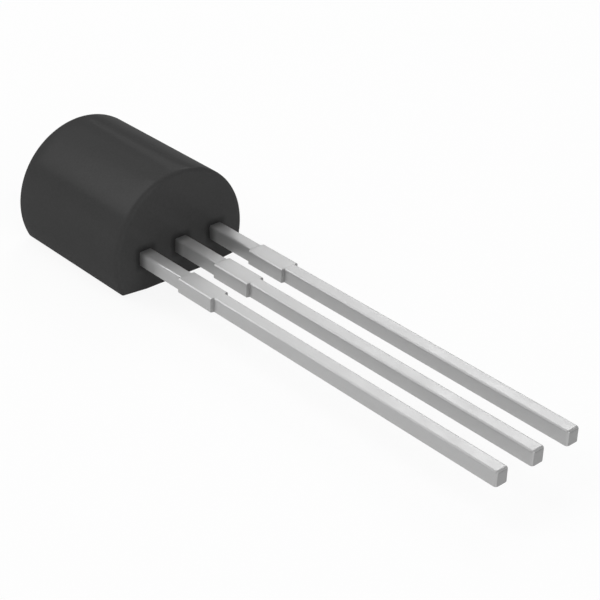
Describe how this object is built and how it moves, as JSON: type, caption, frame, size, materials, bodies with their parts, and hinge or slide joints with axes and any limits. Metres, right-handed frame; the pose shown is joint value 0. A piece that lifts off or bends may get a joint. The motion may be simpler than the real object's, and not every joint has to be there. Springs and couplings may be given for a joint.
{
  "type": "voltage regulator",
  "caption": "Small voltage regulator in a black moulded case with a round back and a flat side, with straight in-line leads.",
  "frame": {"origin": "centre of the case's flat side", "axes": "+X along the leads to their tips, +Z from the flat side to the round back, +Y to the output lead"},
  "size_m": [0.0185, 0.0046, 0.0034],
  "materials": {
    "moulding": "fine matte black epoxy moulding compound",
    "leads": "matte tin plate over copper alloy",
    "die_bond": "dull silver-filled bond",
    "silicon": "polished silicon",
    "bond_wires": "bright gold"
  },
  "bodies": {
    "root": {"moulded_body": "moulding", "output_lead": "leads", "ground_lead": "leads", "input_lead": "leads", "die_attach": "die_bond", "die": "silicon", "output_bond_wire": "bond_wires", "ground_bond_wire": "bond_wires", "input_bond_wire": "bond_wires"}
  },
  "joints": []
}
